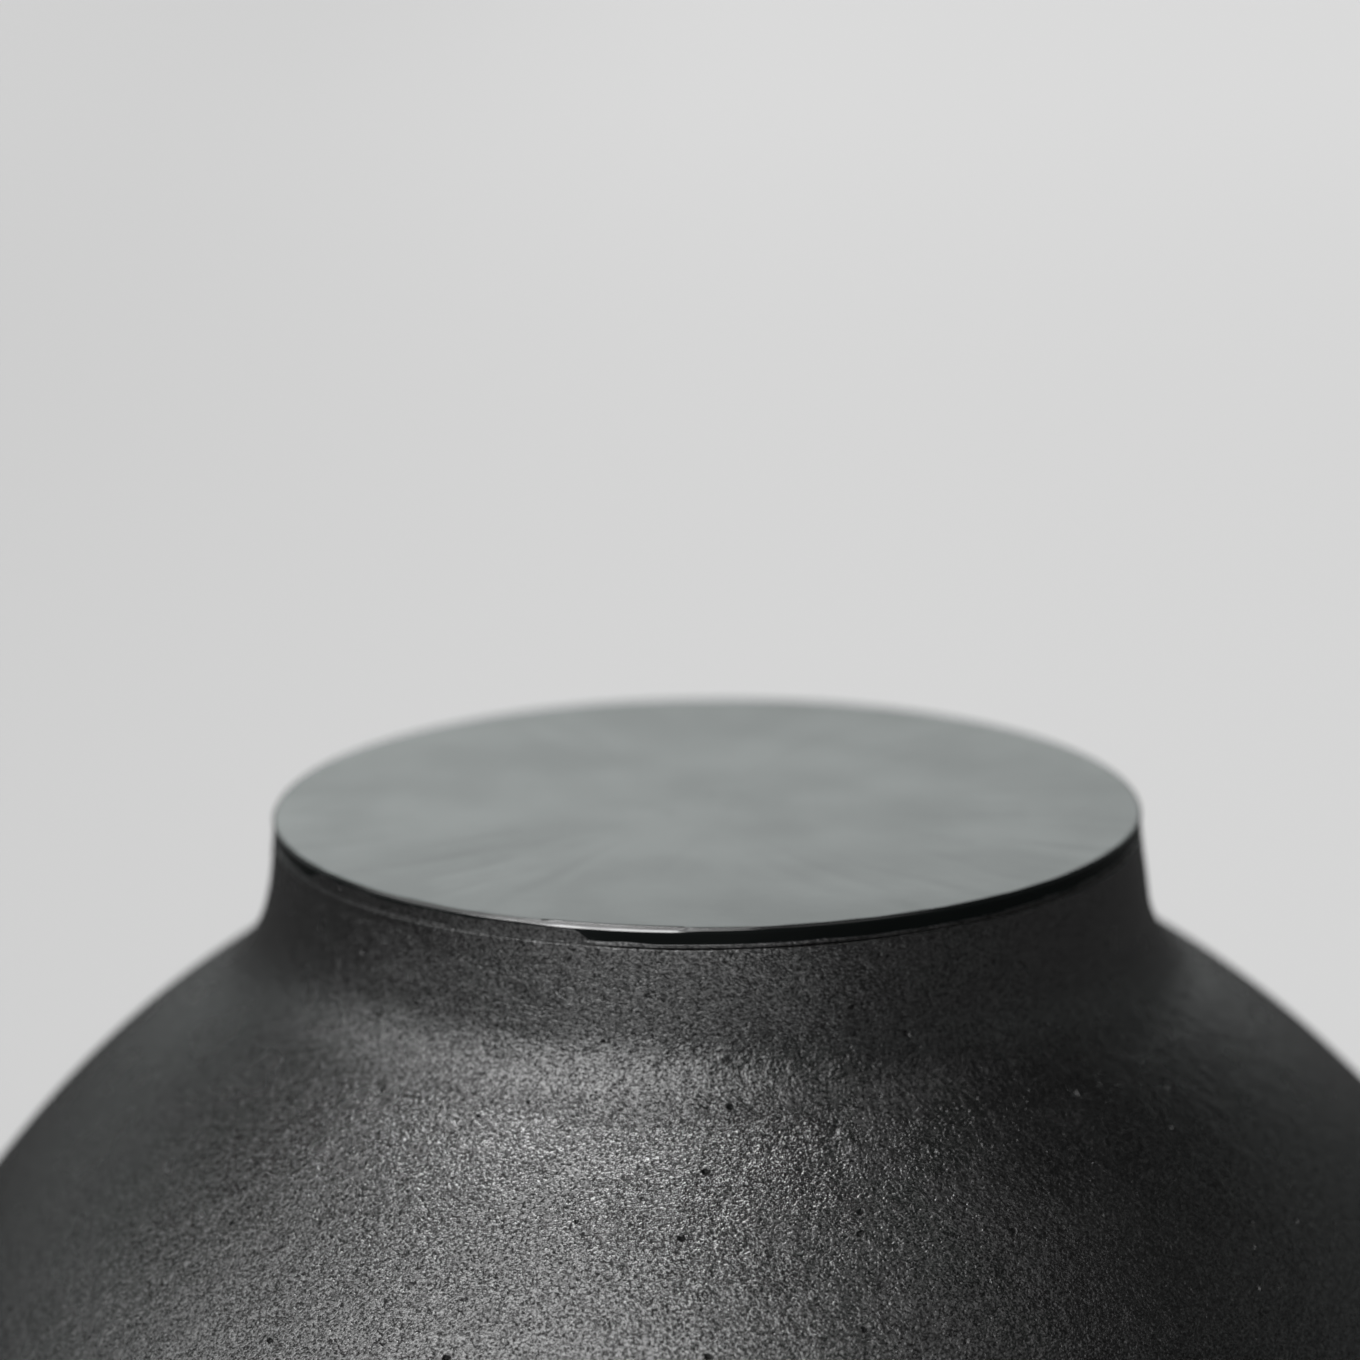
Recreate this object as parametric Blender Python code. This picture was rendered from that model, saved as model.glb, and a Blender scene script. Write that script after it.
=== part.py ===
"""A lidded black clay pot: a round hollow body with a short neck, and a flat burnished lid that lifts off.

Units are metres and +Z is up. The origin is the centre of the foot, on the surface that the pot stands on.
Both pieces are turned shapes. An outline is a list of (radius, height) points, and a Screw modifier turns it about
the pot's axis. Each outline starts on the axis, ends on the axis, runs down its outer side and has no sharp corner:
every arc meets its neighbours along one shared direction.
"""

import math

import bpy

# Body
HEIGHT = 0.235
BELLY_RADIUS = 0.120
BELLY_CENTRE_Z = 0.1111
WALL = 0.006
FLOOR_Z = 0.008
FLOOR_FILLET = 0.010
FOOT_ROUND = 0.004
RECESS_RADIUS = 0.034
RECESS_SLOPE = 0.005
RECESS_DEPTH = 0.0015
RECESS_ROUND = 0.006

# Neck and the sloping seat on its lip
NECK_RADIUS = 0.055
NECK_BASE_RADIUS = 0.0559
NECK_FILLET = 0.014
BORE_RADIUS = 0.047
THROAT_ROUND = 0.007
SEAT_DROP = 0.0014
LIP_OUTER_ROUND = 0.0003
LIP_INNER_ROUND = 0.0010

# Lid: a disc with a rounded edge, and a locating ring under it that drops into the neck
LID_RADIUS = 0.055
LID_THICKNESS = 0.006
LID_EDGE = 0.0024
LID_TOP_ROUND = 0.0005
LID_UNDER_ROUND = 0.0003
SEAT_GAP = 0.0003
RING_RADIUS = 0.0458
RING_WALL = 0.005
RING_DEPTH = 0.011
RING_ROUND = 0.0012
RING_ROOT_FILLET = 0.0008
LID_HOLLOW_FILLET = 0.002

# How finely the round shapes are cut
TURN_STEPS = 64
BELLY_STEP_DEG = 8.0
CORNER_STEPS = 3

SEAT_SLOPE = SEAT_DROP / (NECK_RADIUS - BORE_RADIUS)
LIP_Z = HEIGHT - LID_EDGE - SEAT_GAP
BELLY_CENTRE = (0.0, BELLY_CENTRE_Z)


def arc(centre, start, end, steps):
    """Points from start to end along the shorter arc about centre."""
    radius = math.dist(centre, start)
    first = math.atan2(start[1] - centre[1], start[0] - centre[0])
    last = math.atan2(end[1] - centre[1], end[0] - centre[0])
    turn = (last - first + math.pi) % math.tau - math.pi
    angles = [first + turn * step / steps for step in range(steps + 1)]
    return [(centre[0] + radius * math.cos(a), centre[1] + radius * math.sin(a)) for a in angles]


def belly_arc(start, end):
    """The stretch of a sphere about the belly's centre that joins two points of it."""
    angle = math.acos(
        (start[0] * end[0] + (start[1] - BELLY_CENTRE_Z) * (end[1] - BELLY_CENTRE_Z))
        / (math.dist(BELLY_CENTRE, start) * math.dist(BELLY_CENTRE, end))
    )
    return arc(BELLY_CENTRE, start, end, math.ceil(math.degrees(angle) / BELLY_STEP_DEG))


def on_sphere(point, radius):
    """Where the line from the belly's centre through a point meets a sphere of that radius."""
    share = radius / math.dist(BELLY_CENTRE, point)
    return (point[0] * share, BELLY_CENTRE_Z + (point[1] - BELLY_CENTRE_Z) * share)


def blend_to_wall(wall_radius, sphere_radius, blend, wall_top):
    """The curve that leads from a wall down and out onto a sphere that is wider than it.

    It leaves the wall along the wall's own slope, the straight line down from wall_top.
    """
    centre_r = wall_radius + blend
    centre_z = BELLY_CENTRE_Z + math.sqrt((sphere_radius + blend) ** 2 - centre_r**2)
    to_top = math.atan2(wall_top[1] - centre_z, wall_top[0] - centre_r)
    angle = to_top + math.acos(blend / math.dist((centre_r, centre_z), wall_top))
    wall_end = (centre_r + blend * math.cos(angle), centre_z + blend * math.sin(angle))
    centre = (centre_r, centre_z)
    return arc(centre, wall_end, on_sphere(centre, sphere_radius), 2 * CORNER_STEPS)


def blend_to_plane(plane_z, sphere_radius, blend):
    """The curve that leads from a level plane out and up onto a sphere."""
    centre_z = plane_z + blend
    centre_r = math.sqrt((sphere_radius - blend) ** 2 - (BELLY_CENTRE_Z - centre_z) ** 2)
    centre = (centre_r, centre_z)
    return arc(centre, (centre_r, plane_z), on_sphere(centre, sphere_radius), CORNER_STEPS)


def rounded(corner, before, after, radius):
    """The arc that rounds off the corner between two straight runs."""
    back = (before[0] - corner[0], before[1] - corner[1])
    ahead = (after[0] - corner[0], after[1] - corner[1])
    back_length = math.hypot(*back)
    ahead_length = math.hypot(*ahead)
    half = math.acos((back[0] * ahead[0] + back[1] * ahead[1]) / (back_length * ahead_length)) / 2
    inset = radius / math.tan(half)
    start = (corner[0] + back[0] / back_length * inset, corner[1] + back[1] / back_length * inset)
    end = (corner[0] + ahead[0] / ahead_length * inset, corner[1] + ahead[1] / ahead_length * inset)
    middle = ((start[0] + end[0]) / 2, (start[1] + end[1]) / 2)
    reach = radius / math.sin(half) / math.dist(corner, middle)
    centre = (corner[0] + (middle[0] - corner[0]) * reach, corner[1] + (middle[1] - corner[1]) * reach)
    return arc(centre, start, end, CORNER_STEPS)


def rounded_path(corners):
    """Straight runs through (radius, height, rounding) corners, from the first point to the last."""
    points = [corners[0][:2]]
    for before, corner, after in zip(corners, corners[1:], corners[2:]):
        points += rounded(corner[:2], before[:2], after[:2], corner[2])
    return points + [corners[-1][:2]]


def body_outline():
    """Up the inside from the middle of the floor, over the lip, down the outside and in under the foot."""
    inner_radius = BELLY_RADIUS - WALL
    floor_curve = blend_to_plane(FLOOR_Z, inner_radius, FLOOR_FILLET)
    bore_top = (BORE_RADIUS, LIP_Z - SEAT_DROP)
    neck_top = (NECK_RADIUS, LIP_Z)
    throat = blend_to_wall(BORE_RADIUS, inner_radius, THROAT_ROUND, bore_top)[::-1]
    shoulder = blend_to_wall(NECK_BASE_RADIUS, BELLY_RADIUS, NECK_FILLET, neck_top)
    foot = blend_to_plane(0.0, BELLY_RADIUS, FOOT_ROUND)[::-1]
    lip = rounded_path(
        [
            (*throat[-1], 0.0),
            (*bore_top, LIP_INNER_ROUND),
            (*neck_top, LIP_OUTER_ROUND),
            (*shoulder[0], 0.0),
        ]
    )
    recess = rounded_path(
        [
            (*foot[-1], 0.0),
            (RECESS_RADIUS, 0.0, RECESS_ROUND),
            (RECESS_RADIUS - RECESS_SLOPE, RECESS_DEPTH, RECESS_ROUND),
            (0.0, RECESS_DEPTH, 0.0),
        ]
    )
    widest = (BELLY_RADIUS, BELLY_CENTRE_Z)
    inner_widest = (inner_radius, BELLY_CENTRE_Z)
    inside = [(0.0, FLOOR_Z)] + floor_curve
    inside += belly_arc(floor_curve[-1], inner_widest)[1:] + belly_arc(inner_widest, throat[0])[1:] + throat[1:-1]
    outside = shoulder[1:] + belly_arc(shoulder[-1], widest)[1:] + belly_arc(widest, foot[0])[1:] + foot[1:]
    return inside + lip + outside + recess[1:]


def lid_outline():
    """Out across the top, round the edge, in along the seat, round the locating ring and in under the disc.

    Heights count down from the top of the lid.
    """
    root_z = -LID_EDGE - SEAT_SLOPE * (LID_RADIUS - RING_RADIUS)
    ring_inner_radius = RING_RADIUS - RING_WALL
    return rounded_path(
        [
            (0.0, 0.0, 0.0),
            (LID_RADIUS, 0.0, LID_TOP_ROUND),
            (LID_RADIUS, -LID_EDGE, LID_UNDER_ROUND),
            (RING_RADIUS, root_z, RING_ROOT_FILLET),
            (RING_RADIUS, -RING_DEPTH, RING_ROUND),
            (ring_inner_radius, -RING_DEPTH, RING_ROUND),
            (ring_inner_radius, -LID_THICKNESS, LID_HOLLOW_FILLET),
            (0.0, -LID_THICKNESS, 0.0),
        ]
    )


def clay(name, colour, roughness):
    """A Principled material. Black clay is dark all through, because smoke has blackened it in the kiln."""
    material = bpy.data.materials.new(name)
    material.use_nodes = True
    shader = material.node_tree.nodes["Principled BSDF"]
    shader.inputs["Base Color"].default_value = (*colour, 1.0)
    shader.inputs["Roughness"].default_value = roughness
    shader.inputs["Metallic"].default_value = 0.0
    return material


def turned(name, outline, material):
    """An object whose outline is turned about its own Z axis."""
    mesh = bpy.data.meshes.new(name)
    edges = [(index, index + 1) for index in range(len(outline) - 1)]
    mesh.from_pydata([(radius, 0.0, height) for radius, height in outline], edges, [])
    mesh.materials.append(material)
    piece = bpy.data.objects.new(name, mesh)
    bpy.context.scene.collection.objects.link(piece)
    screw = piece.modifiers.new("turn", "SCREW")
    screw.steps = TURN_STEPS
    screw.render_steps = TURN_STEPS
    screw.use_merge_vertices = True
    screw.merge_threshold = 0.00001
    screw.use_smooth_shade = True
    return piece


def clear_scene():
    for old in list(bpy.data.objects):
        bpy.data.objects.remove(old)


def build():
    clear_scene()
    matte = clay("matte_black_clay", (0.030, 0.030, 0.029), 0.50)
    burnished = clay("burnished_black_clay", (0.020, 0.021, 0.021), 0.15)
    axis = bpy.data.objects.new("pot_axis", None)
    bpy.context.scene.collection.objects.link(axis)
    body = turned("pot_body", body_outline(), matte)
    lid = turned("lid", lid_outline(), burnished)
    lid.location = (0.0, 0.0, HEIGHT)
    body.parent = axis
    lid.parent = axis


build()
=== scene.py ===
"""The looks of a lidded black clay pot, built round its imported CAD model.

Each CAD piece is replaced by a finer one that is turned from the same outline, so sizes and fits stay the
CAD's. The finer pieces add what a hand-made pot has: uneven walls, throwing rings inside, and a wavering
polished edge. The grain of the clay, its pits, its soot and its wear are in the materials.
Units are metres, +Z is up, and the pot stands on z = 0 with its axis on the Z axis. The camera looks from -Y.
"""

import math

import bpy
import numpy as np
from mathutils import Matrix, Vector


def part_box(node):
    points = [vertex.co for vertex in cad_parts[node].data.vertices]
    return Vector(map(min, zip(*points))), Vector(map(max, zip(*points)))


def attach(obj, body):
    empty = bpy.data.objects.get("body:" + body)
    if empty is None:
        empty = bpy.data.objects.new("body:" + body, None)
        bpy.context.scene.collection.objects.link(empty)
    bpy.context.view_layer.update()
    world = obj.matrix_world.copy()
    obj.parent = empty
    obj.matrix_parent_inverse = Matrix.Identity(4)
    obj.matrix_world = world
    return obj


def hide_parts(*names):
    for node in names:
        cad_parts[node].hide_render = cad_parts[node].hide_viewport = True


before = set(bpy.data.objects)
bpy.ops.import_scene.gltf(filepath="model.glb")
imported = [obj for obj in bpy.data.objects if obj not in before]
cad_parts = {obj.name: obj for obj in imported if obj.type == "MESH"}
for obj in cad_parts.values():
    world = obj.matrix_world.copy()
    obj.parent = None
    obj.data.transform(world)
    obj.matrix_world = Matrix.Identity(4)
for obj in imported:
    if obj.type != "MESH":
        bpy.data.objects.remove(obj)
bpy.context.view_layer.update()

MM = 0.001

BODY_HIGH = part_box("pot_body")[1]
LID_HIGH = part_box("lid")[1]
BELLY_RADIUS = BODY_HIGH.x
LIP_Z = BODY_HIGH.z
LID_RADIUS = LID_HIGH.x
LID_TOP_Z = LID_HIGH.z


# ---------------------------------------------------------------- outlines

SAME_PLACE = 1e-7
STRAIGHT = 1e-3
ARC_STEP_DEG = 9.0


def on_section(place):
    """Whether a vertex of the CAD lies on the half section: the plane y = 0 where x isn't negative."""
    return abs(place[1]) < SAME_PLACE and place[0] > -SAME_PLACE


def section_links(node):
    """Which points of a CAD node's half section, as (radius, height), each point is joined to."""
    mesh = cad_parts[node].data
    places = [tuple(vertex.co) for vertex in mesh.vertices]
    links = {}
    for edge in mesh.edges:
        ends = [places[index] for index in edge.vertices]
        if all(on_section(place) for place in ends):
            first, last = [(round(x, 8), round(z, 8)) for x, _, z in ends]
            if first != last:
                links.setdefault(first, set()).add(last)
                links.setdefault(last, set()).add(first)
    return links


def cad_outline(node):
    """The outline that a CAD node turns about the Z axis, from axis to axis, with the clay on its right.

    A flat ring of the CAD mesh may have no edge on the section, so loose ends at one height are joined. A
    flat disc may have no point on the axis, so the ends that are left over are carried straight in to it.
    """
    links = section_links(node)
    loose = [point for point in links if len(links[point]) == 1]
    loose.sort(key=lambda point: (point[1], point[0]))
    for inner, outer in zip(loose, loose[1:]):
        if abs(inner[1] - outer[1]) < SAME_PLACE and inner[0] > SAME_PLACE:
            links[inner].add(outer)
            links[outer].add(inner)
    walk = [next(point for point in loose if len(links[point]) == 1)]
    while True:
        onward = [point for point in links[walk[-1]] if point not in walk[-2:]]
        if not onward:
            break
        walk.append(onward[0])
    off_axis = [point for point in walk if point[0] > SAME_PLACE]
    outline = np.array([(0.0, walk[0][1])] + off_axis + [(0.0, walk[-1][1])])
    radii, heights = outline.T
    area = np.sum(radii[:-1] * heights[1:] - radii[1:] * heights[:-1])
    return outline if area < 0 else outline[::-1]


def arc_angles(outline):
    """The headings of an outline's chords, and how far the arc over each chord turns, in radians.

    The outline starts with a straight run and has no sharp corner, so each turn between two chords is half
    of the arc before it plus half of the arc after it.
    """
    chords = np.diff(outline, axis=0)
    headings = np.arctan2(chords[:, 1], chords[:, 0])
    turns = (np.diff(headings) + math.pi) % math.tau - math.pi
    angles = [0.0]
    for turn in turns:
        angles.append(2 * turn - angles[-1])
    return headings, angles


def refined(outline, step_at):
    """Finer rows along the outline's arcs: an (n, 2) array of points and one of their outward normals.

    step_at(radius, height) is the longest step allowed there.
    """
    rows = []
    normals = []
    headings, angles = arc_angles(outline)
    for start, end, heading, angle in zip(outline, outline[1:], headings, angles):
        length = math.dist(start, end)
        steps = max(length / step_at(*((start + end) / 2)), abs(math.degrees(angle)) / ARC_STEP_DEG)
        share = np.arange(math.ceil(steps)) / math.ceil(steps)
        heading_along = heading - angle / 2 + angle * share
        if abs(angle) < STRAIGHT:
            along = start + np.outer(share, end - start)
        else:
            radius = length / (2 * math.sin(angle / 2))
            first = heading_along[0]
            along = start + radius * np.stack(
                [np.sin(heading_along) - math.sin(first), math.cos(first) - np.cos(heading_along)], axis=1
            )
        rows.append(along)
        normals.append(np.stack([-np.sin(heading_along), np.cos(heading_along)], axis=1))
    rows.append(outline[-1:])
    normals.append(normals[-1][-1:])
    return np.concatenate(rows), np.concatenate(normals)


def smoothed(rows, reach):
    """The rows of an outline, each moved to the average of its neighbours within about the given reach."""
    steps = np.linalg.norm(np.diff(rows, axis=0), axis=1)
    along = np.concatenate([[0.0], np.cumsum(steps)])
    weights = np.exp(-(((along[:, None] - along) / reach) ** 2)) * np.gradient(along)
    return weights @ rows / weights.sum(axis=1)[:, None]


# ---------------------------------------------------------------- turned meshes


def turned(flat, segments):
    """Turns (n, 2) rows about the Z axis into an (n, segments, 3) array."""
    angles = np.arange(segments) * math.tau / segments
    across = flat[:, :1]
    up = np.repeat(flat[:, 1:], segments, axis=1)
    return np.stack([across * np.cos(angles), across * np.sin(angles), up], axis=2)


def turned_faces(rows, segments):
    """The faces of a closed mesh of that many rows, whose first and last rows are points on the axis."""
    rings = rows - 2
    here = np.arange(segments)
    there = (here + 1) % segments
    starts = 1 + segments * np.arange(rings - 1)[:, None]
    nexts = starts + segments
    quads = np.stack([starts + here, nexts + here, nexts + there, starts + there], axis=2)
    last_ring = 1 + segments * (rings - 1)
    last_pole = np.full_like(here, last_ring + segments)
    first_fan = np.stack([np.zeros_like(here), 1 + here, 1 + there], axis=1)
    last_fan = np.stack([last_ring + here, last_pole, last_ring + there], axis=1)
    return first_fan.tolist() + quads.reshape(-1, 4).tolist() + last_fan.tolist()


def on_vertices(values):
    """A (rows, segments, ...) array as one entry for each vertex of a turned mesh."""
    return np.concatenate([values[:1, 0], values[1:-1].reshape(-1, *values.shape[2:]), values[-1:, 0]])


def turned_mesh(name, points, attributes):
    """A closed object from (rows, segments, 3) points whose first and last rows lie on the axis.

    Each attribute is a (rows, segments) array that the materials read by its name.
    """
    mesh = bpy.data.meshes.new(name)
    mesh.from_pydata(on_vertices(points).tolist(), [], turned_faces(*points.shape[:2]))
    mesh.shade_smooth()
    for label, values in attributes.items():
        attribute = mesh.attributes.new(label, "FLOAT", "POINT")
        attribute.data.foreach_set("value", on_vertices(values).astype(np.float32))
    piece = bpy.data.objects.new(name, mesh)
    bpy.context.scene.collection.objects.link(piece)
    return piece


# ---------------------------------------------------------------- hand-made unevenness

# Random unevenness is a sum of waves, whose lengths are these shares of the length that is asked for
WAVES = 28
WAVE_LENGTHS = (0.7, 1.5)

# The strokes of the polishing stone: how many fit round the lid, how much they bend, and what breaks them up
STROKE_COUNTS = (11, 60)
STROKE_BEND = 0.4
STROKE_BREAKS_OUTWARD = 60
STROKE_BREAKS_ROUND = 3

# The rim: how far it wanders outwards, and the stretch of it, front left, where the polish and the joint have
# been rubbed away. Azimuths are in degrees from the front (-Y) towards the left (-X)
EDGE_WANDER = 0.08 * MM
EDGE_WANDER_LENGTH = 34 * MM
RUBBED_START = (11, 17)
RUBBED_END = (64, 57)
RUBBED_RAGGEDNESS = 1.5
RUBBED_RAGGED_LENGTH = 9 * MM

# The joint under the lid's edge: how far it is smeared shut where it isn't rubbed away, how much that changes
# along it, and how far the rounded edges above and below it are pushed out where it is shut
JOINT_SMEAR = 0.3
JOINT_SMEAR_CHANGE = 0.2
JOINT_SMEAR_LENGTH = 14 * MM
JOINT_SHARPEN = 0.11 * MM


def smooth_step(low, high, values):
    """0 below low and 1 above high, or the other way round if low is the larger."""
    share = np.clip((values - low) / (high - low), 0, 1)
    return share * share * (3 - 2 * share)


def ripples(points, length, seed):
    """Smooth random heights, mostly between -1 and 1, whose swells are about one length apart."""
    random = np.random.default_rng(seed)
    directions = random.normal(size=(WAVES, 3))
    directions /= np.linalg.norm(directions, axis=1, keepdims=True)
    lengths = length * random.uniform(*WAVE_LENGTHS, WAVES)
    phases = random.uniform(0, math.tau, WAVES)
    total = np.zeros(points.shape[:-1])
    for direction, wave_length, phase in zip(directions, lengths, phases):
        total += np.sin(points @ (direction * math.tau / wave_length) + phase)
    return total / math.sqrt(WAVES)


def strokes(azimuth, radius, seed):
    """Ridges along the radius, as the strokes of a polishing stone leave them."""
    random = np.random.default_rng(seed)
    total = np.zeros(azimuth.shape)
    counts = random.integers(*STROKE_COUNTS, WAVES)
    bends = random.uniform(-STROKE_BEND, STROKE_BEND, WAVES) / LID_RADIUS
    phases = random.uniform(0, math.tau, WAVES)
    for count, bend, phase in zip(counts, bends, phases):
        breaks = np.sin(phase + radius * STROKE_BREAKS_OUTWARD + azimuth * STROKE_BREAKS_ROUND)
        total += np.sin(count * (azimuth + bend * radius) + phase) * breaks
    return total / math.sqrt(WAVES)


def below_lip(depths, height):
    """0 at the first depth below the lip and 1 at the second."""
    return smooth_step(LIP_Z - depths[0], LIP_Z - depths[1], height)


def inside_rim(distances, radius):
    """0 at the first distance in from the lid's rim and 1 at the second."""
    return smooth_step(LID_RADIUS - distances[0], LID_RADIUS - distances[1], radius)


def from_axis(points):
    """How far each point or normal reaches from the Z axis."""
    return np.hypot(points[..., 0], points[..., 1])


def front_left(points):
    """The azimuth in degrees, counted from the front (-Y) towards the left (-X), from -180 to 180."""
    return np.degrees(np.arctan2(-points[..., 0], -points[..., 1]))


def rubbed_off(points):
    """1 on the stretch of the rim where the polish and the joint have been rubbed away, 0 elsewhere."""
    turn = front_left(points) + RUBBED_RAGGEDNESS * ripples(points, RUBBED_RAGGED_LENGTH, seed=31)
    return smooth_step(*RUBBED_START, turn) * smooth_step(*RUBBED_END, turn)


def smeared_shut(points):
    """How far the joint under the lid's edge is smeared shut, from 0 to 1."""
    change = JOINT_SMEAR_CHANGE * ripples(points, JOINT_SMEAR_LENGTH, seed=33)
    return np.clip(rubbed_off(points) + JOINT_SMEAR + change, 0, 1)


def joint_corner(out, side):
    """How far to push out a rounded edge to sharpen it: the body's upper one (side 1) or the lid's (-1)."""
    return JOINT_SHARPEN * np.clip(side * 2 * out[..., 2] * from_axis(out), 0, 1)


def pushed_out(points, distance):
    """Moves points away from the Z axis."""
    points[..., :2] *= (1 + distance / np.maximum(from_axis(points), MM))[..., None]


def rim_wander(points):
    """How far the rim of the lid and the neck's top edge stray outwards together."""
    radius = np.maximum(from_axis(points), MM)
    on_rim = np.stack([points[..., 0] / radius, points[..., 1] / radius, 0 * radius], axis=-1) * LID_RADIUS
    return EDGE_WANDER * ripples(on_rim, EDGE_WANDER_LENGTH, seed=24)


# ---------------------------------------------------------------- the body

BODY_OUTLINE = cad_outline("pot_body")
BELLY_CENTRE_Z = float(BODY_OUTLINE[np.argmax(BODY_OUTLINE[:, 0]), 1])
BODY_SEGMENTS = 320

# The longest steps down the outline, and how far below the lip the first two are used. A point is inside the
# belly when it is deeper than SKIN_DEPTH
LIP_STEP = 0.5 * MM
LIP_REACH = 4 * MM
NECK_STEP = 1.3 * MM
NECK_REACH = 24 * MM
BELLY_STEP = 1.9 * MM
INSIDE_STEP = 5 * MM
SKIN_DEPTH = 3 * MM

BODY_SWELL = 0.20 * MM
BODY_SWELL_LENGTH = 75 * MM
BODY_DENTS = 0.02 * MM
BODY_DENTS_LENGTH = 22 * MM
SHOULDER_FILL_REACH = 5 * MM
SHOULDER_FILL_DEPTH = 40 * MM
THROWING_RING = 0.25 * MM
THROWING_RING_PITCH = 7 * MM
THROWING_RINGS_START = 20 * MM

# How far the seat rises towards the lid's edge, where the joint is open and where it is smeared shut. The
# rise starts and ends at JOINT_RISE_INSIDE, two distances in from the rim
JOINT_RISE = 0.15 * MM
JOINT_RISE_CLOSED = 0.28 * MM
JOINT_RISE_INSIDE = (4 * MM, 1.5 * MM)

# The depths below the lip, or heights above the foot, where each effect starts and where it is full
UNEVEN_DEPTHS = (1 * MM, 9 * MM)
UNEVEN_HEIGHTS = (0, 6 * MM)
LIP_DEPTHS = (2.5 * MM, 1 * MM)
WANDER_DEPTHS = (12 * MM, 0)
THROAT_DEPTHS = (14 * MM, 26 * MM)
FOOT_WEAR_HEIGHTS = (7 * MM, 0)


def body_step(radius, height):
    """Fine steps near the neck and lip, coarser ones down the belly, and the coarsest inside."""
    if height > LIP_Z - LIP_REACH:
        return LIP_STEP
    if height > LIP_Z - NECK_REACH:
        return NECK_STEP
    inside = math.hypot(radius, height - BELLY_CENTRE_Z) < BELLY_RADIUS - SKIN_DEPTH
    return INSIDE_STEP if inside else BELLY_STEP


def shoulder_fill(rows, normals, points):
    """How much fuller the foot of the neck is on the left than the CAD has it."""
    moves = np.sum((smoothed(rows, SHOULDER_FILL_REACH) - rows) * normals, axis=1)[:, None]
    leftward = -points[..., 0] / np.maximum(from_axis(points), MM)
    upper = smooth_step(BELLY_CENTRE_Z, LIP_Z - SHOULDER_FILL_DEPTH, points[..., 2])
    return moves * (0.5 + 0.5 * leftward) ** 2 * upper


def throwing_rings(points):
    """The spiral ridge that fingers leave up the inside of the wall."""
    radius = from_axis(points)
    height = points[..., 2]
    turn = height / THROWING_RING_PITCH * math.tau + np.arctan2(points[..., 1], points[..., 0])
    off_middle = smooth_step(0, THROWING_RINGS_START, radius)
    return THROWING_RING * np.sin(turn) * below_lip(THROAT_DEPTHS, height) * off_middle


def clay_pot():
    """The pot body. Its foot stays flat, and its seat rises a little outwards, to close up the joint."""
    rows, normals = refined(BODY_OUTLINE, body_step)
    points = turned(rows, BODY_SEGMENTS)
    out = turned(normals, BODY_SEGMENTS)
    radius = from_axis(points)
    height = points[..., 2].copy()
    lip_row = int(np.argmax(rows[:, 1]))
    outside = (np.arange(len(rows)) > lip_row)[:, None] * np.ones(BODY_SEGMENTS)
    free = below_lip(UNEVEN_DEPTHS, height) * smooth_step(*UNEVEN_HEIGHTS, height)
    near_lip = below_lip(LIP_DEPTHS, height)
    closed = smeared_shut(points)

    uneven = BODY_SWELL * ripples(points, BODY_SWELL_LENGTH, seed=11)
    uneven += BODY_DENTS * ripples(points, BODY_DENTS_LENGTH, seed=12)
    fill = shoulder_fill(rows, normals, points) * outside
    rings = throwing_rings(points) * (1 - outside)
    crisp = joint_corner(out, 1) * closed * near_lip * outside
    points += out * ((uneven + fill) * free + rings + crisp)[..., None]

    on_seat = inside_rim(JOINT_RISE_INSIDE, radius) * near_lip
    points[..., 2] += on_seat * (JOINT_RISE + (JOINT_RISE_CLOSED - JOINT_RISE) * closed)
    pushed_out(points, rim_wander(points) * below_lip(WANDER_DEPTHS, height) * outside)

    foot_wear = smooth_step(*FOOT_WEAR_HEIGHTS, height) * outside
    lip_wear = near_lip * (1 - outside)
    wear = np.maximum(foot_wear, lip_wear)
    return turned_mesh("clay_pot", points, {"inside": 1 - outside, "wear": wear})


# ---------------------------------------------------------------- the lid

LID_SEGMENTS = 480

# The longest steps along the outline, how far in from the rim the edge reaches, and how far down the top
EDGE_STEP = 0.12 * MM
EDGE_REACH = 1 * MM
TOP_STEP = 0.6 * MM
TOP_REACH = 0.5 * MM
UNDER_STEP = 1.2 * MM

LID_WAVE = 0.005 * MM
LID_WAVE_LENGTH = 22 * MM
LID_HAMMER = 0.014 * MM
LID_HAMMER_LENGTH = 5 * MM
LID_HAMMER_REACH = 11 * MM
STROKE_HEIGHT = 0.016 * MM

# The polished band round the edge: how far down it goes, how deep its face is hollowed, how much it wanders
BAND_DEPTH = 2.05 * MM
BAND_DEPTH_WORN = 0.60 * MM
BAND_LEAST_HEIGHT = 0.3 * MM
BAND_COVE = 0.35 * MM
BAND_COVE_END = (0.15 * MM, 0)
BAND_WANDER = 0.10 * MM
BAND_WANDER_LENGTH = 6 * MM

# The worn bevel of the top's edge, which catches the light. It is widest over a stretch left of the front
LEDGE_DROP = 0.25 * MM
LEDGE_SLOPE = math.tan(math.radians(30))
LEDGE_SOFTNESS = 0.12 * MM
LEDGE_WIDTH = 0.40 * MM
LEDGE_WIDTH_WORN = 0.20 * MM
LEDGE_START = (1, 4)
LEDGE_END = (24, 18)

# The radii, the distances in from the rim and the depths below the top where each effect starts and is full
STROKE_RADII = (6 * MM, 45 * MM)
EDGE_INSIDE = (1 * MM, 0.5 * MM)
WANDER_INSIDE = (5 * MM, 0.5 * MM)
JOINT_DEPTHS = (1.6 * MM, 2.0 * MM)
TOP_DEPTHS = (2 * MM, 1 * MM)


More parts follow.
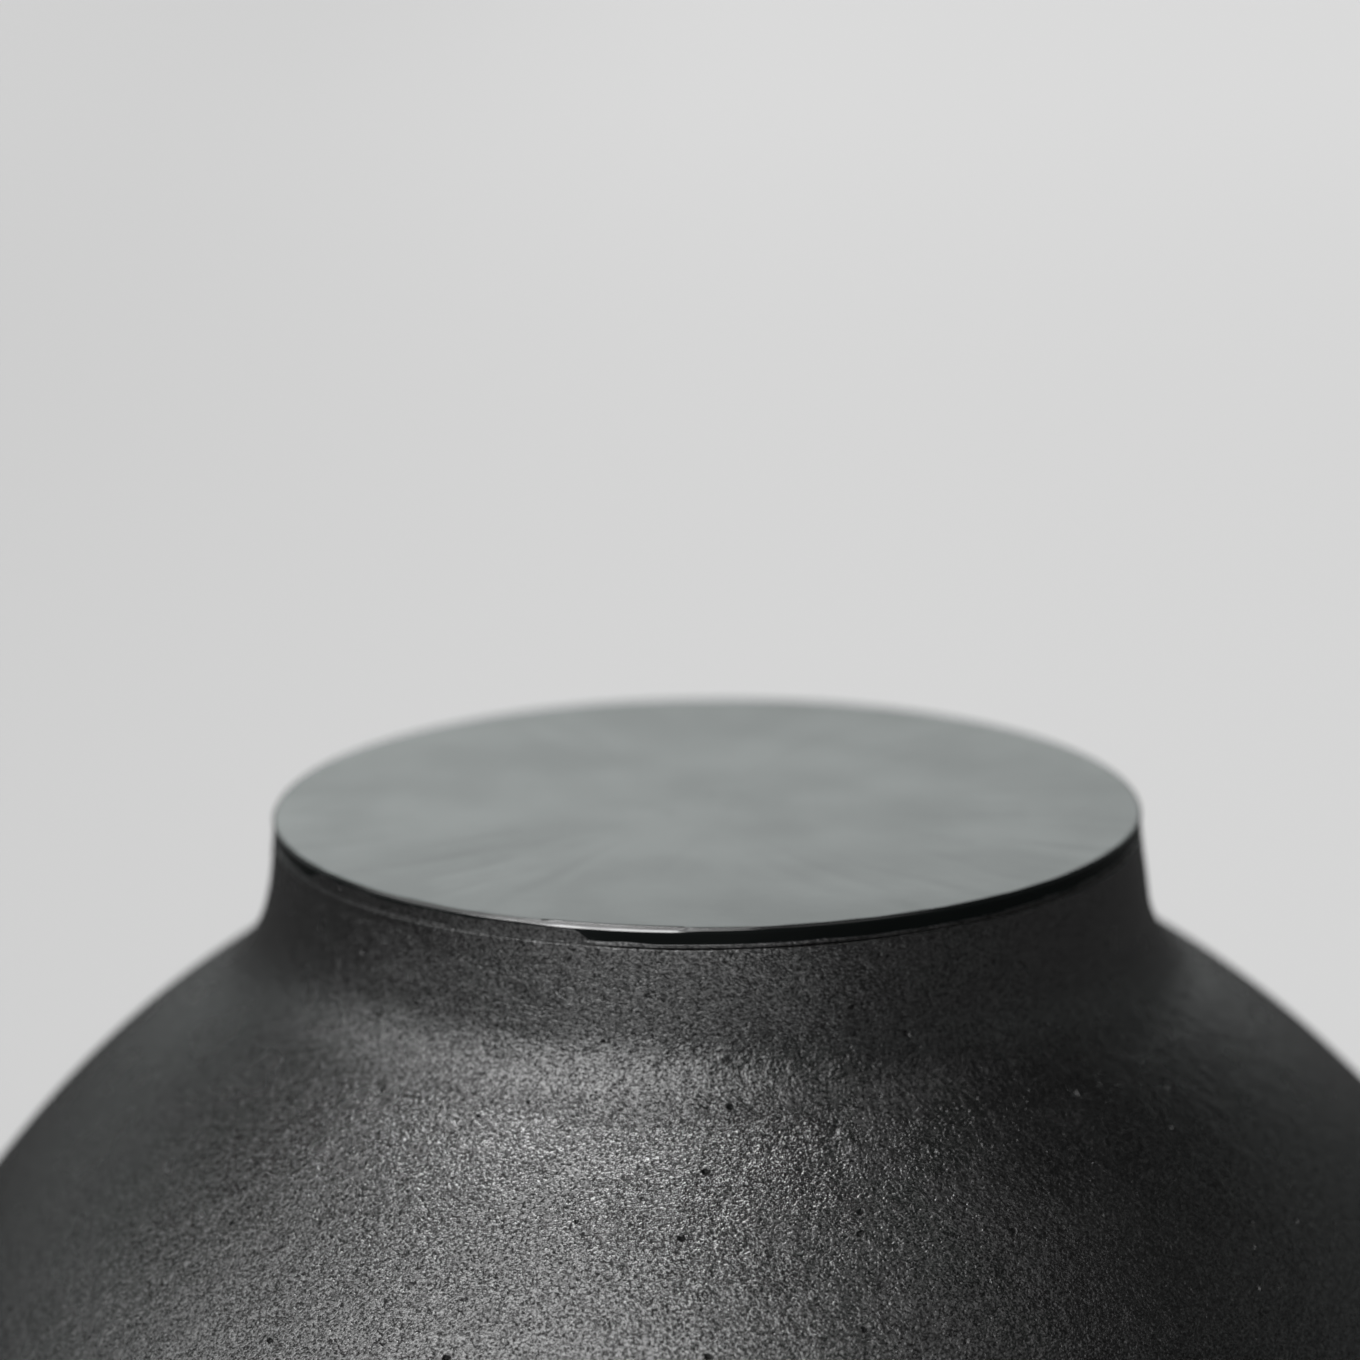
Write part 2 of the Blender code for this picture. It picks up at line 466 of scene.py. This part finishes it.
def lid_step(radius, height):
    """Fine steps over the top, and the finest down the outer edge."""
    if radius > LID_RADIUS - EDGE_REACH:
        return EDGE_STEP
    return TOP_STEP if height > LID_TOP_Z - TOP_REACH else UNDER_STEP


def top_unevenness(points):
    """The heights that a polishing stone leaves on the lid's top, with small facets near the middle."""
    radius = from_axis(points)
    azimuth = np.arctan2(points[..., 1], points[..., 0])
    wave = LID_WAVE * ripples(points, LID_WAVE_LENGTH, seed=21)
    near_middle = np.exp(-((radius / LID_HAMMER_REACH) ** 2))
    facets = LID_HAMMER * ripples(points, LID_HAMMER_LENGTH, seed=22) * near_middle
    ridges = STROKE_HEIGHT * strokes(azimuth, radius, seed=23) * smooth_step(*STROKE_RADII, radius)
    return wave + facets + ridges


def ledge_height(points, radius, worn):
    """The highest that the top may stand once its edge is bevelled."""
    turn = front_left(points)
    bright = smooth_step(*LEDGE_START, turn) * smooth_step(*LEDGE_END, turn)
    width = LEDGE_WIDTH_WORN * worn + (LEDGE_WIDTH - LEDGE_WIDTH_WORN * worn) * bright
    inward = LID_RADIUS - radius
    drop = LEDGE_DROP + LEDGE_SLOPE * (width - inward)
    return LID_TOP_Z - drop * smooth_step(width + LEDGE_SOFTNESS, width, inward)


def clay_lid():
    """The lid. Its beyond_band attribute is the distance below the polished band, in millimetres."""
    rows, normals = refined(cad_outline("lid"), lid_step)
    points = turned(rows, LID_SEGMENTS)
    out = turned(normals, LID_SEGMENTS)
    radius = from_axis(points)
    depth = LID_TOP_Z - points[..., 2]
    worn = rubbed_off(points)
    band = BAND_DEPTH - (BAND_DEPTH - BAND_DEPTH_WORN) * worn
    band += BAND_WANDER * ripples(points, BAND_WANDER_LENGTH, seed=32)
    beyond_band = depth - band
    on_edge = inside_rim(EDGE_INSIDE, radius)

    band_height = np.maximum(band - BAND_DEPTH_WORN, BAND_LEAST_HEIGHT)
    down_band = np.clip((depth - BAND_DEPTH_WORN) / band_height, 0, 1)
    cove = -BAND_COVE * down_band * smooth_step(*BAND_COVE_END, beyond_band) * on_edge * (1 - worn)
    crisp = joint_corner(out, -1) * smeared_shut(points) * smooth_step(*JOINT_DEPTHS, depth) * on_edge
    upper = smooth_step(*TOP_DEPTHS, depth)
    points += out * (top_unevenness(points) * upper + cove + crisp)[..., None]

    bevelled = np.minimum(points[..., 2], ledge_height(points, radius, worn))
    points[..., 2] = np.where(depth < BAND_DEPTH_WORN, bevelled, points[..., 2])
    pushed_out(points, rim_wander(points) * inside_rim(WANDER_INSIDE, radius))
    return turned_mesh("clay_lid", points, {"beyond_band": beyond_band / MM})


# ---------------------------------------------------------------- node trees

# Where nearly all values of a noise node lie
NOISE_SPREAD = (0.3, 0.7)


class Nodes:
    """A node tree, with short ways to add to it. A value is a number, a tuple or another node's output.

    A Mix node has its own pair of numbered sockets for each kind of value that it mixes.
    """

    def __init__(self, tree):
        self.tree = tree
        self.coordinates = self.node("ShaderNodeTexCoord").outputs
        self.place = self.coordinates["Object"]

    def node(self, kind, settings=None, **inputs):
        made = self.tree.nodes.new(kind)
        for key, value in (settings or {}).items():
            setattr(made, key, value)
        for key, value in inputs.items():
            self.feed(made.inputs[key.replace("_", " ")], value)
        return made

    def feed(self, socket, value):
        if isinstance(value, bpy.types.NodeSocket):
            self.tree.links.new(value, socket)
        else:
            socket.default_value = value

    def feed_all(self, sockets, values):
        for key, value in values.items():
            self.feed(sockets[key], value)

    def math(self, operation, first, second=0.0, third=0.0):
        made = self.node("ShaderNodeMath", {"operation": operation})
        for socket, value in zip(made.inputs, (first, second, third)):
            self.feed(socket, value)
        return made.outputs[0]

    def fit(self, value, low, high, to_low=0.0, to_high=1.0):
        """Carries low..high over to to_low..to_high, and holds it there."""
        made = self.node("ShaderNodeMapRange", {"interpolation_type": "SMOOTHSTEP"})
        ends = {"From Min": low, "From Max": high, "To Min": to_low, "To Max": to_high}
        self.feed_all(made.inputs, {"Value": value, **ends})
        return made.outputs["Result"]

    def noise(self, spacing, detail=2.0, distortion=0.0, place=None):
        """Noise whose blobs are about the given spacing apart."""
        made = self.node("ShaderNodeTexNoise", Vector=place or self.place, Scale=1 / spacing, Detail=detail)
        self.feed(made.inputs["Distortion"], distortion)
        return made.outputs

    def cells(self, spacing, place=None, **settings):
        """Points scattered at about the given spacing. Their distances are shares of that spacing."""
        made = self.node("ShaderNodeTexVoronoi", settings, Vector=place or self.place, Scale=1 / spacing)
        return made.outputs

    def chance(self, colour, channel):
        """One channel of a cell's random colour, which is a random number for each cell."""
        return self.node("ShaderNodeSeparateColor", Color=colour).outputs[channel]

    def attribute(self, name):
        return self.node("ShaderNodeAttribute", {"attribute_name": name}).outputs["Fac"]

    def xyz(self, vector):
        return self.node("ShaderNodeSeparateXYZ", Vector=vector).outputs

    def mix(self, share, first, second):
        """A colour that goes from first to second as share goes from 0 to 1."""
        made = self.node("ShaderNodeMix", {"data_type": "RGBA"})
        self.feed_all(made.inputs, {0: share, 6: first, 7: second})
        return made.outputs[2]

    def mix_normals(self, share, first, second):
        made = self.node("ShaderNodeMix", {"data_type": "VECTOR"})
        self.feed_all(made.inputs, {0: share, 4: first, 5: second})
        return made.outputs[1]

    def blend(self, share, first, second):
        """A number that goes from first to second as share goes from 0 to 1."""
        made = self.node("ShaderNodeMix")
        self.feed_all(made.inputs, {0: share, 2: first, 3: second})
        return made.outputs[0]

    def clouds(self, spacing, detail, low=0.0, high=1.0):
        """Soft clouds about the given spacing apart, whose values go from low to high."""
        return self.fit(self.noise(spacing, detail)[0], *NOISE_SPREAD, low, high)

    def bump(self, height, distance, normal=None):
        made = self.node("ShaderNodeBump", Height=height, Distance=distance)
        if normal is not None:
            self.feed(made.inputs["Normal"], normal)
        return made.outputs[0]


def new_material(name):
    """A new material, and the nodes of its tree."""
    material = bpy.data.materials.new(name)
    material.use_nodes = True
    return material, Nodes(material.node_tree)


# ---------------------------------------------------------------- clay

# The skin's relief: grains, finer dust on them, rounder pebbles among them, and a slow undulation under it
# all. GRAIN_HEIGHT is the height of a whole grain, and the shares are shares of it
GRAIN_SPACING = 0.42 * MM
GRAIN_HEIGHT = 0.12 * MM
GRAIN_DISTORTION = 0.5
GRAIN_FLATNESS = 1.35
DUST_SPACING = 0.22 * MM
DUST_SHARE = 0.15
PEBBLE_SPACING = 0.75 * MM
PEBBLE_SHARE = 0.45
UNDULATION_SPACING = 2.6 * MM
UNDULATION_HEIGHT = 0.20 * MM

# The painted gleam on the skin, which sets how strongly each point mirrors: painted shade between the grains,
# painted sheen on the tops of the grains and dust, and single painted glints. The heights are where a top
# starts to gleam and gleams fully, and the chances choose the cells that hold a glint
DUST_IN_PAINTED_GLEAM = 0.75
PAINTED_GLEAM_HEIGHTS = (0.62, 1.10)
PAINTED_GLINT_SPACING = 0.55 * MM
PAINTED_GLINT_LEVEL = 0.9
PAINTED_GLINT_CHANCES = (0.78, 1.0)
PAINTED_GLINT_EDGE = (0.42, 0.20)

# The pits: most cells have none, and a few have a large one. Sizes and edges are shares of the spacing
PIT_SPACING = 2.9 * MM
PIT_DEPTH = 0.40 * MM
PIT_CHANCES = (0.60, 1.0)
PIT_RADII = (-0.06, 0.13)
PIT_EDGE = (0.05, -0.07)
PIT_WARP_SPACING = 0.9 * MM
PIT_WARP = 0.7 * MM
# The pits hardly mirror: painted shade in them
PAINTED_PIT_SHADE_GLEAM = 0.04

# The matte clay, outside and inside: how strongly it mirrors between the grains, under painted shade, and on
# them, under painted sheen, how rough it is, and its colours
MATTE_IOR = 2.0
MATTE_PAINTED_GLEAM = (0.05, 0.90)
MATTE_ROUGHNESS = (0.22, 0.28)
INSIDE_ROUGHNESS = 0.62
DULLNESS_SPACING = 8 * MM
SOOT_SPACING = 18 * MM
FLECK_SPACING = 0.5 * MM
FLECK_NOISE = (0.50, 0.75)
SOOT_BLACK = (0.0035, 0.0035, 0.0035, 1)
SMOKED_BLACK = (0.0055, 0.0055, 0.0054, 1)
FLECK_GREY = (0.012, 0.012, 0.0117, 1)
WORN_GREY = (0.045, 0.043, 0.040, 1)
WORN_SHARE = 0.6
INSIDE_GREY = (0.085, 0.082, 0.077, 1)
INSIDE_SHARE = 0.8

# The polished clay, and the unpolished clay below it. The polish ends in a frayed line, POLISH_ENDS
# millimetres below the band that clay_lid gives it
POLISHED_IOR = 1.6
POLISHED_ROUGHNESS = (0.14, 0.17)
CLOUD_SPACING = 14 * MM
POLISHED_SOOT_SPACING = 22 * MM
POLISHED_SOOT = (0.0030, 0.0038, 0.0037, 1)
POLISHED_BLACK = (0.0050, 0.0062, 0.0060, 1)
POLISH_FRAY_SPACING = 0.7 * MM
POLISH_FRAY = 0.30
POLISH_ENDS = (0.20, 0.12)
UNPOLISHED_BLACK = (0.005, 0.005, 0.005, 1)
UNPOLISHED_ROUGHNESS = 0.34
# How strongly the unpolished clay mirrors between and on its grains, under painted shade and painted sheen
UNPOLISHED_PAINTED_GLEAM = (0.10, 0.62)
STONE_MARK_SPACING = 1.4 * MM
STONE_MARK_HEIGHT = 0.004 * MM

# Painted reflection on the polish, by how far up its face looks (the normal's Z): upright faces hardly
# mirror, a painted black band, and the bevel's slopes mirror more strongly than the top, a painted highlight
# line
UPRIGHT_Z = (0.30, 0.55)
PAINTED_BLACK_BAND_GLEAM = 0.03
TOP_Z = (0.93, 0.99)
TOP_GLEAM = 0.5


def grain(nodes):
    """The height of the clay's grains, and a painted gleam: painted shade between the grains (0), painted
    sheen on them (1), and painted glints.
    """
    combed = nodes.node("ShaderNodeMapping", Vector=nodes.place, Scale=(1, 1, GRAIN_FLATNESS)).outputs[0]
    grains = nodes.noise(GRAIN_SPACING, detail=1.5, distortion=GRAIN_DISTORTION, place=combed)[0]
    dust = nodes.noise(DUST_SPACING, detail=1.0, place=combed)[0]
    pebbles = nodes.math("SUBTRACT", 1.0, nodes.cells(PEBBLE_SPACING, feature="SMOOTH_F1")["Distance"])
    fine = nodes.math("MULTIPLY_ADD", dust, DUST_SHARE, grains)
    height = nodes.math("MULTIPLY_ADD", pebbles, PEBBLE_SHARE, fine)
    painted_gleam_speckle = nodes.math("MULTIPLY_ADD", dust, DUST_IN_PAINTED_GLEAM, grains)
    painted_glint_cells = nodes.cells(PAINTED_GLINT_SPACING)
    glinting_cell = nodes.fit(nodes.chance(painted_glint_cells["Color"], 1), *PAINTED_GLINT_CHANCES)
    painted_glint = nodes.math("MULTIPLY", glinting_cell, nodes.fit(painted_glint_cells["Distance"], *PAINTED_GLINT_EDGE))
    # Painted shade between the grains, painted sheen on their tops, and painted glints on a few cells
    painted_gleam = nodes.math("MULTIPLY_ADD", painted_glint, PAINTED_GLINT_LEVEL, nodes.fit(painted_gleam_speckle, *PAINTED_GLEAM_HEIGHTS))
    return height, painted_gleam


def pits(nodes):
    """1 in the pits and 0 elsewhere. A warp keeps them from being round."""
    warp = nodes.noise(PIT_WARP_SPACING, detail=1.0)["Color"]
    warped = nodes.node("ShaderNodeVectorMath", {"operation": "MULTIPLY_ADD"})
    nodes.feed_all(warped.inputs, {0: warp, 1: (PIT_WARP,) * 3, 2: nodes.place})
    scattered = nodes.cells(PIT_SPACING, warped.outputs[0])
    radius = nodes.fit(nodes.chance(scattered["Color"], 0), *PIT_CHANCES, *PIT_RADII)
    return nodes.fit(nodes.math("SUBTRACT", scattered["Distance"], radius), *PIT_EDGE)


def clay_skin(nodes):
    """The clay's skin: its normal, its painted gleam (painted shade, sheen and glints), and the pits."""
    height, painted_gleam = grain(nodes)
    pit = pits(nodes)
    slow = nodes.bump(nodes.noise(UNDULATION_SPACING, detail=1.0)[0], UNDULATION_HEIGHT)
    skin = nodes.bump(height, GRAIN_HEIGHT, slow)
    normal = nodes.bump(nodes.math("SUBTRACT", 1.0, pit), PIT_DEPTH, skin)
    return normal, painted_gleam, pit


def matte_clay():
    """Smoke-blackened clay, rubbed smooth but not polished: satin outside, drier inside and where it rubs."""
    material, nodes = new_material("matte_black_clay")
    normal, painted_gleam, pit = clay_skin(nodes)
    inside = nodes.attribute("inside")
    soot = nodes.clouds(SOOT_SPACING, detail=3)
    fleck = nodes.fit(nodes.noise(FLECK_SPACING, detail=1)[0], *FLECK_NOISE)
    flecked = nodes.mix(fleck, nodes.mix(soot, SOOT_BLACK, SMOKED_BLACK), FLECK_GREY)
    worn = nodes.mix(nodes.math("MULTIPLY", nodes.attribute("wear"), WORN_SHARE), flecked, WORN_GREY)
    colour = nodes.mix(nodes.math("MULTIPLY", inside, INSIDE_SHARE), worn, INSIDE_GREY)
    dull = nodes.clouds(DULLNESS_SPACING, 3, *MATTE_ROUGHNESS)
    surface = {
        "Base Color": colour,
        "Roughness": nodes.blend(inside, dull, INSIDE_ROUGHNESS),
        "IOR": MATTE_IOR,
        # Painted shade between the grains and in the pits, painted sheen and glints on the grains
        "Specular IOR Level": nodes.blend(pit, nodes.blend(painted_gleam, *MATTE_PAINTED_GLEAM), PAINTED_PIT_SHADE_GLEAM),
        "Normal": normal,
    }
    nodes.feed_all(nodes.tree.nodes["Principled BSDF"].inputs, surface)
    return material


def painted_mirror_strength(nodes):
    """Painted reflection: the polish barely mirrors where it is upright, so its edge is a black band of
    painted shade, and the bevel's slopes mirror twice as strongly as the top, a painted highlight.
    """
    upward = nodes.xyz(nodes.node("ShaderNodeNewGeometry").outputs["Normal"])["Z"]
    off_upright = nodes.fit(upward, *UPRIGHT_Z, PAINTED_BLACK_BAND_GLEAM, 1.0)
    return nodes.math("MINIMUM", off_upright, nodes.fit(upward, *TOP_Z, 1.0, TOP_GLEAM))


def burnished_clay():
    """The lid: clay rubbed with a stone to a gloss on top and round the edge, and left matte underneath."""
    material, nodes = new_material("burnished_black_clay")
    fray = nodes.noise(POLISH_FRAY_SPACING)[0]
    frayed = nodes.math("MULTIPLY_ADD", fray, POLISH_FRAY, nodes.attribute("beyond_band"))
    polish = nodes.fit(frayed, *POLISH_ENDS)
    skin, painted_gleam, pit = clay_skin(nodes)
    soot = nodes.clouds(POLISHED_SOOT_SPACING, detail=2)
    cloud = nodes.clouds(CLOUD_SPACING, 3, *POLISHED_ROUGHNESS)
    # Painted shade between the grains and in the pits of the unpolished clay
    unpolished = nodes.blend(pit, nodes.blend(painted_gleam, *UNPOLISHED_PAINTED_GLEAM), PAINTED_PIT_SHADE_GLEAM)
    stone_marks = nodes.bump(nodes.noise(STONE_MARK_SPACING)[0], STONE_MARK_HEIGHT)
    surface = {
        "Base Color": nodes.mix(polish, UNPOLISHED_BLACK, nodes.mix(soot, POLISHED_SOOT, POLISHED_BLACK)),
        "Roughness": nodes.blend(polish, UNPOLISHED_ROUGHNESS, cloud),
        "IOR": nodes.blend(polish, MATTE_IOR, POLISHED_IOR),
        # Painted black band round the edge, painted highlight on the bevel, painted shade between the grains
        # below the polish
        "Specular IOR Level": nodes.blend(polish, unpolished, painted_mirror_strength(nodes)),
        "Normal": nodes.mix_normals(polish, skin, stone_marks),
    }
    nodes.feed_all(nodes.tree.nodes["Principled BSDF"].inputs, surface)
    return material


# ---------------------------------------------------------------- floor

FLOOR_RADIUS = 40.0
FLOOR_SIDES = 64
FLOOR_GAP = 0.05 * MM
FLOOR_ROUGHNESS = 0.9

# What the camera sees of the floor: painted shade, a little darker on the left, and painted light, lighter
# far behind the pot
FLOOR_PAINTED_SHADING = (0.438, 0.485)
FLOOR_ACROSS = (-0.5, 0.1)
FLOOR_BEHIND = (1.2, 3.2)
FLOOR_PAINTED_LIGHT_BEHIND = 1.05

# What mirroring clay sees of the floor: a painted pool of light round this place, and painted shade beyond it
PAINTED_FLOOR_GLOW = (-0.20, -0.80, 0.0)
PAINTED_FLOOR_GLOW_REACH = (0.20, 0.80)
PAINTED_FLOOR_GLOW_LEVELS = (0.92, 0.05)


def floor_material():
    """Pale, with painted shading for the camera and a painted pool of light that only mirroring clay sees,
    and with no colour from below, so that the pot's foot can be seen through it.
    """
    material, nodes = new_material("pale_floor")
    x, y, _ = nodes.xyz(nodes.place)
    # Painted shading: darker on the left, lighter far behind the pot
    behind = nodes.fit(y, *FLOOR_BEHIND, 1.0, FLOOR_PAINTED_LIGHT_BEHIND)
    pale = nodes.math("MULTIPLY", nodes.fit(x, *FLOOR_ACROSS, *FLOOR_PAINTED_SHADING), behind)
    # A painted pool of light that only mirroring clay sees, and painted shade round it
    from_glow = nodes.node("ShaderNodeVectorMath", {"operation": "DISTANCE"})
    nodes.feed_all(from_glow.inputs, {0: nodes.place, 1: PAINTED_FLOOR_GLOW})
    mirrored = nodes.fit(from_glow.outputs["Value"], *PAINTED_FLOOR_GLOW_REACH, *PAINTED_FLOOR_GLOW_LEVELS)
    glossy_ray = nodes.node("ShaderNodeLightPath").outputs["Is Glossy Ray"]
    surface = nodes.tree.nodes["Principled BSDF"]
    nodes.feed(surface.inputs["Base Color"], nodes.mix(glossy_ray, pale, mirrored))
    nodes.feed_all(surface.inputs, {"Roughness": FLOOR_ROUGHNESS, "Specular IOR Level": 0.0})
    below = nodes.node("ShaderNodeNewGeometry").outputs["Backfacing"]
    either = nodes.node("ShaderNodeMixShader")
    clear = nodes.node("ShaderNodeBsdfTransparent").outputs[0]
    nodes.feed_all(either.inputs, {0: below, 1: surface.outputs[0], 2: clear})
    nodes.feed(nodes.tree.nodes["Material Output"].inputs["Surface"], either.outputs[0])
    return material


def plain_floor():
    """A wide pale disc that runs to the horizon, just under the pot."""
    angles = np.linspace(0, math.tau, FLOOR_SIDES + 1)[:-1]
    corners = [(FLOOR_RADIUS * math.cos(a), FLOOR_RADIUS * math.sin(a), -FLOOR_GAP) for a in angles]
    mesh = bpy.data.meshes.new("floor")
    mesh.from_pydata(corners, [], [list(range(FLOOR_SIDES))])
    mesh.materials.append(floor_material())
    floor = bpy.data.objects.new("floor", mesh)
    bpy.context.scene.collection.objects.link(floor)


# ---------------------------------------------------------------- light

# Each lamp's azimuth and elevation in degrees, the radiance of its face, and its width in degrees
LAMPS = {
    "key": (-150, 62, 9.4, 16),
    "key_overhead": (-165, 76, 5.9, 16),
    "right_front": (60, 62, 0.38, 30),
    "front_left": (-28, 46, 2.0, 56),
    "left_high": (-80, 50, 0.73, 60),
    "left_low": (-85, 25, 0.56, 40),
}

# The room: what lights matte clay, what the camera sees, and what mirroring clay sees. It sees HORIZON_COLOUR
# level with it, OVERHEAD_COLOUR straight up, and between them BACKDROP_LEVELS: a direction's Z and its level
AMBIENT_LEVEL = 0.6
CAMERA_LEVEL = 0.68
HORIZON_COLOUR = (0.44, 0.45, 0.45, 1)
OVERHEAD_COLOUR = (0.02, 0.02, 0.02, 1)
BACKDROP_LEVELS = ((0.22, 0.50), (0.262, 1.85), (0.305, 1.05), (0.50, 0.05))
BACKDROP_TINT = (0.94, 1.0, 0.985)

# How the mirrored room changes with direction: each is a range of its X or Y, and the gains at both ends
BEHIND_POT = ((0.87, 0.955), (0.35, 1.0))
LEFT_TO_RIGHT = ((-0.20, 0.20), (1.07, 0.93))
FAR_RIGHT = ((0.30, 0.65), (1.0, 0.4))


def soft_lamp(name, azimuth_deg, elevation_deg, level, width_deg):
    """A round soft box far off, with a face of that radiance. Azimuths count from the front to the right."""
    azimuth = math.radians(azimuth_deg)
    elevation = math.radians(elevation_deg)
    level_reach = math.cos(elevation)
    toward = Vector((level_reach * math.sin(azimuth), -level_reach * math.cos(azimuth), math.sin(elevation)))
    lamp = bpy.data.lights.new(name, "SUN")
    lamp.angle = math.radians(width_deg)
    lamp.energy = level * math.pi * math.sin(lamp.angle / 2) ** 2
    lamp_object = bpy.data.objects.new(name, lamp)
    lamp_object.rotation_mode = "QUATERNION"
    lamp_object.rotation_quaternion = toward.to_track_quat("Z", "Y")
    bpy.context.scene.collection.objects.link(lamp_object)


def mirrored_room(nodes):
    """What polished clay sees: bright behind, near the horizon, and dark overhead and on the right."""
    x, y, z = nodes.xyz(nodes.coordinates["Generated"])
    ramp = nodes.node("ShaderNodeValToRGB", Fac=z)
    stops = ramp.color_ramp.elements
    stops[0].position = 0.0
    stops[0].color = HORIZON_COLOUR
    stops[1].position = 1.0
    stops[1].color = OVERHEAD_COLOUR
    for position, level in BACKDROP_LEVELS:
        stops.new(position).color = (*(level * tint for tint in BACKDROP_TINT), 1)
    gain = 1.0
    for value, (ends, gains) in ((y, BEHIND_POT), (x, LEFT_TO_RIGHT), (x, FAR_RIGHT)):
        gain = nodes.math("MULTIPLY", gain, nodes.fit(value, *ends, *gains))
    dimmed = nodes.node("ShaderNodeVectorMath", {"operation": "SCALE"}, Scale=gain)
    nodes.feed(dimmed.inputs[0], ramp.outputs[0])
    return dimmed.outputs[0]


def studio_world():
    """A pale room, which looks different to mirroring clay, to the camera and to matte clay."""
    world = bpy.data.worlds.new("studio")
    bpy.context.scene.world = world
    world.use_nodes = True
    nodes = Nodes(world.node_tree)
    rays = nodes.node("ShaderNodeLightPath").outputs
    ambient = (AMBIENT_LEVEL, AMBIENT_LEVEL, AMBIENT_LEVEL, 1)
    behind = (CAMERA_LEVEL, CAMERA_LEVEL, CAMERA_LEVEL, 1)
    lighting = nodes.mix(rays["Is Glossy Ray"], ambient, mirrored_room(nodes))
    colour = nodes.mix(rays["Is Camera Ray"], lighting, behind)
    nodes.feed(nodes.tree.nodes["Background"].inputs["Color"], colour)


# ---------------------------------------------------------------- camera

CAMERA_LENS = 114.4
CAMERA_SENSOR = 36
CAMERA_DISTANCE = 0.55
CAMERA_ELEVATION = math.radians(15.3)
CAMERA_PITCH = math.radians(-13.678)
CAMERA_YAW = math.radians(0.345)
CAMERA_ROLL = math.radians(-0.65)
NEAREST_SEEN = 0.01
FARTHEST_SEEN = 200

# The lens is focused on the shoulder, FOCUS_RADIUS in front of the axis. Its f-number grows by CLOSING for
# each metre that the camera is farther from there than CAMERA_DISTANCE, so that other views are sharp
F_NUMBER = 10.3
FOCUS_RADIUS = 71 * MM
CLOSING = 400


def focus_place():
    """An empty on the belly's sphere, at the front."""
    focus = bpy.data.objects.new("focus", None)
    focus.location = (0, -FOCUS_RADIUS, BELLY_CENTRE_Z + math.sqrt(BELLY_RADIUS**2 - FOCUS_RADIUS**2))
    bpy.context.scene.collection.objects.link(focus)
    return focus


def camera():
    """A long lens close to the pot, a little above its lid."""
    lens = bpy.data.cameras.new("camera")
    lens.lens = CAMERA_LENS
    lens.sensor_width = CAMERA_SENSOR
    lens.clip_start = NEAREST_SEEN
    lens.clip_end = FARTHEST_SEEN
    viewer = bpy.data.objects.new("camera", lens)
    away = Vector((0, -math.cos(CAMERA_ELEVATION), math.sin(CAMERA_ELEVATION)))
    turn = Matrix.Rotation(CAMERA_YAW, 4, "Z") @ Matrix.Rotation(math.pi / 2 + CAMERA_PITCH, 4, "X")
    place = Matrix.Translation(Vector((0, 0, LID_TOP_Z)) + away * CAMERA_DISTANCE)
    viewer.matrix_world = place @ turn @ Matrix.Rotation(CAMERA_ROLL, 4, "Z")
    bpy.context.scene.collection.objects.link(viewer)
    bpy.context.scene.camera = viewer

    lens.dof.use_dof = True
    lens.dof.focus_object = focus_place()
    lens.dof.aperture_fstop = F_NUMBER
    driver = lens.dof.driver_add("aperture_fstop").driver
    gap = driver.variables.new()
    gap.name = "gap"
    gap.type = "LOC_DIFF"
    gap.targets[0].id = viewer
    gap.targets[1].id = lens.dof.focus_object
    driver.expression = f"{F_NUMBER} + {CLOSING} * max(gap - {CAMERA_DISTANCE}, 0)"


# ---------------------------------------------------------------- assembly

pot = clay_pot()
pot.data.materials.append(matte_clay())
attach(pot, "pot")
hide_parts("pot_body")

lid = clay_lid()
lid.data.materials.append(burnished_clay())
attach(lid, "lid")
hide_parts("lid")

plain_floor()
studio_world()
for lamp_name, lamp_settings in LAMPS.items():
    soft_lamp(lamp_name, *lamp_settings)
camera()
bpy.context.scene.view_settings.view_transform = "Standard"
bpy.context.scene.view_settings.look = "None"
